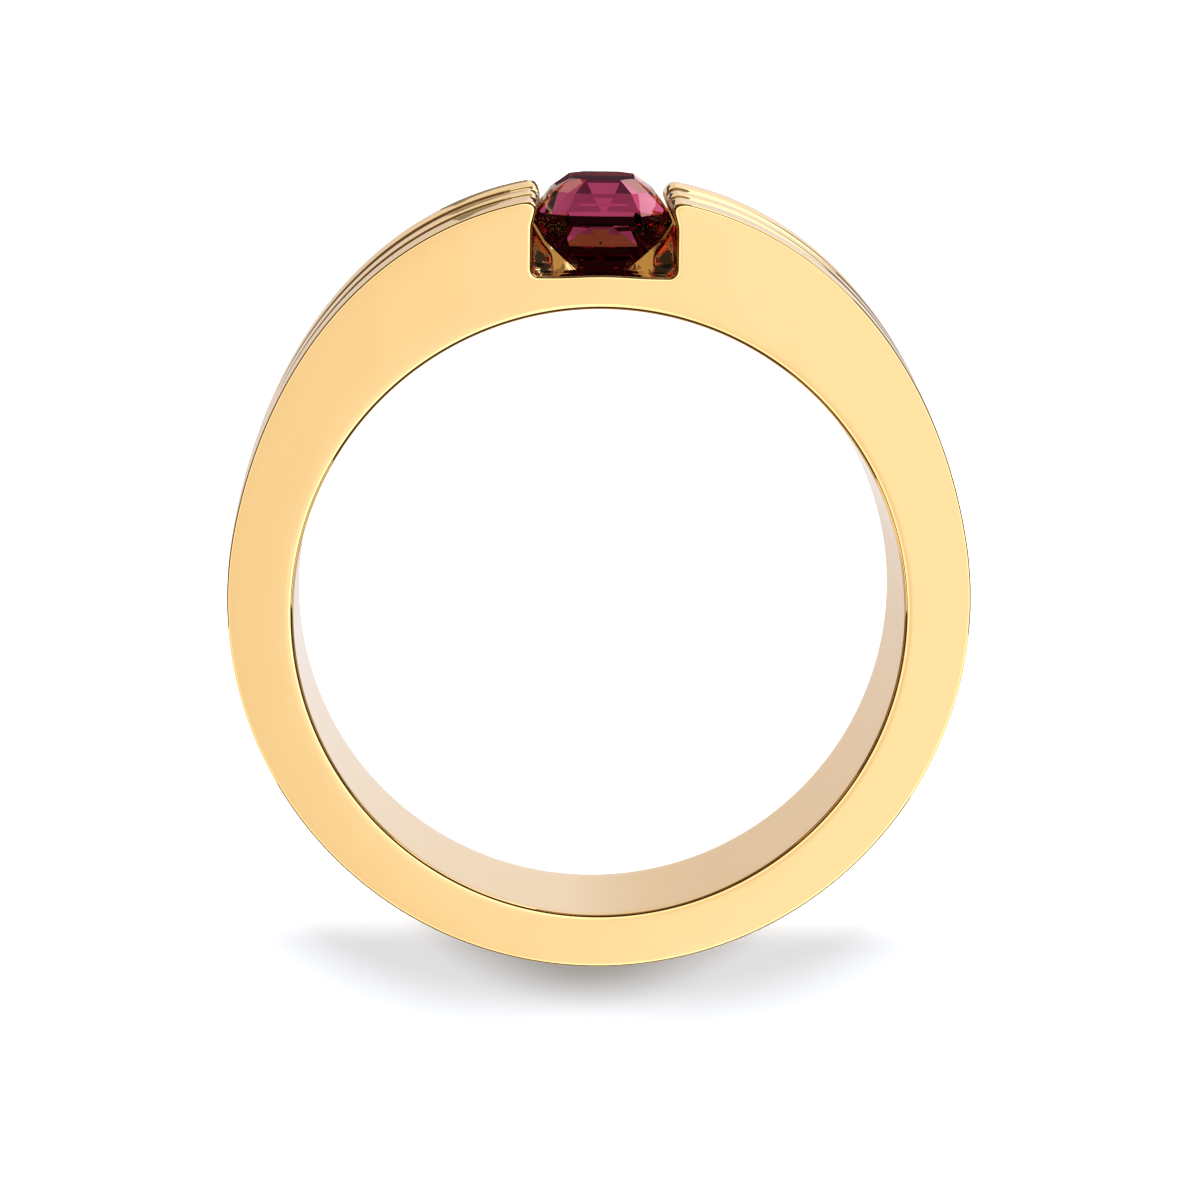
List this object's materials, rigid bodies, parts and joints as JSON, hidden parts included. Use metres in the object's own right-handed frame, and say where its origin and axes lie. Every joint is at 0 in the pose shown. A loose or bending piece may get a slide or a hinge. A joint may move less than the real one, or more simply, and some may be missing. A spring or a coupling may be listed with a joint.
{
  "type": "ruby wedding band",
  "caption": "Wide polished gold band with ribbed shoulders and an octagonal faceted ruby let into a notch at the top.",
  "frame": {"origin": "centre of the finger hole, halfway through the band's width", "axes": "+Z along the finger hole, away from the face the ring lies on; +Y from the hole's centre to the stone; +X across the stone"},
  "size_m": [0.0212, 0.0225, 0.006],
  "materials": {
    "gold": "mirror-polished yellow gold",
    "ruby": "polished facets, clear deep red"
  },
  "bodies": {
    "root": {"band": "gold", "stone": "ruby"}
  },
  "joints": []
}
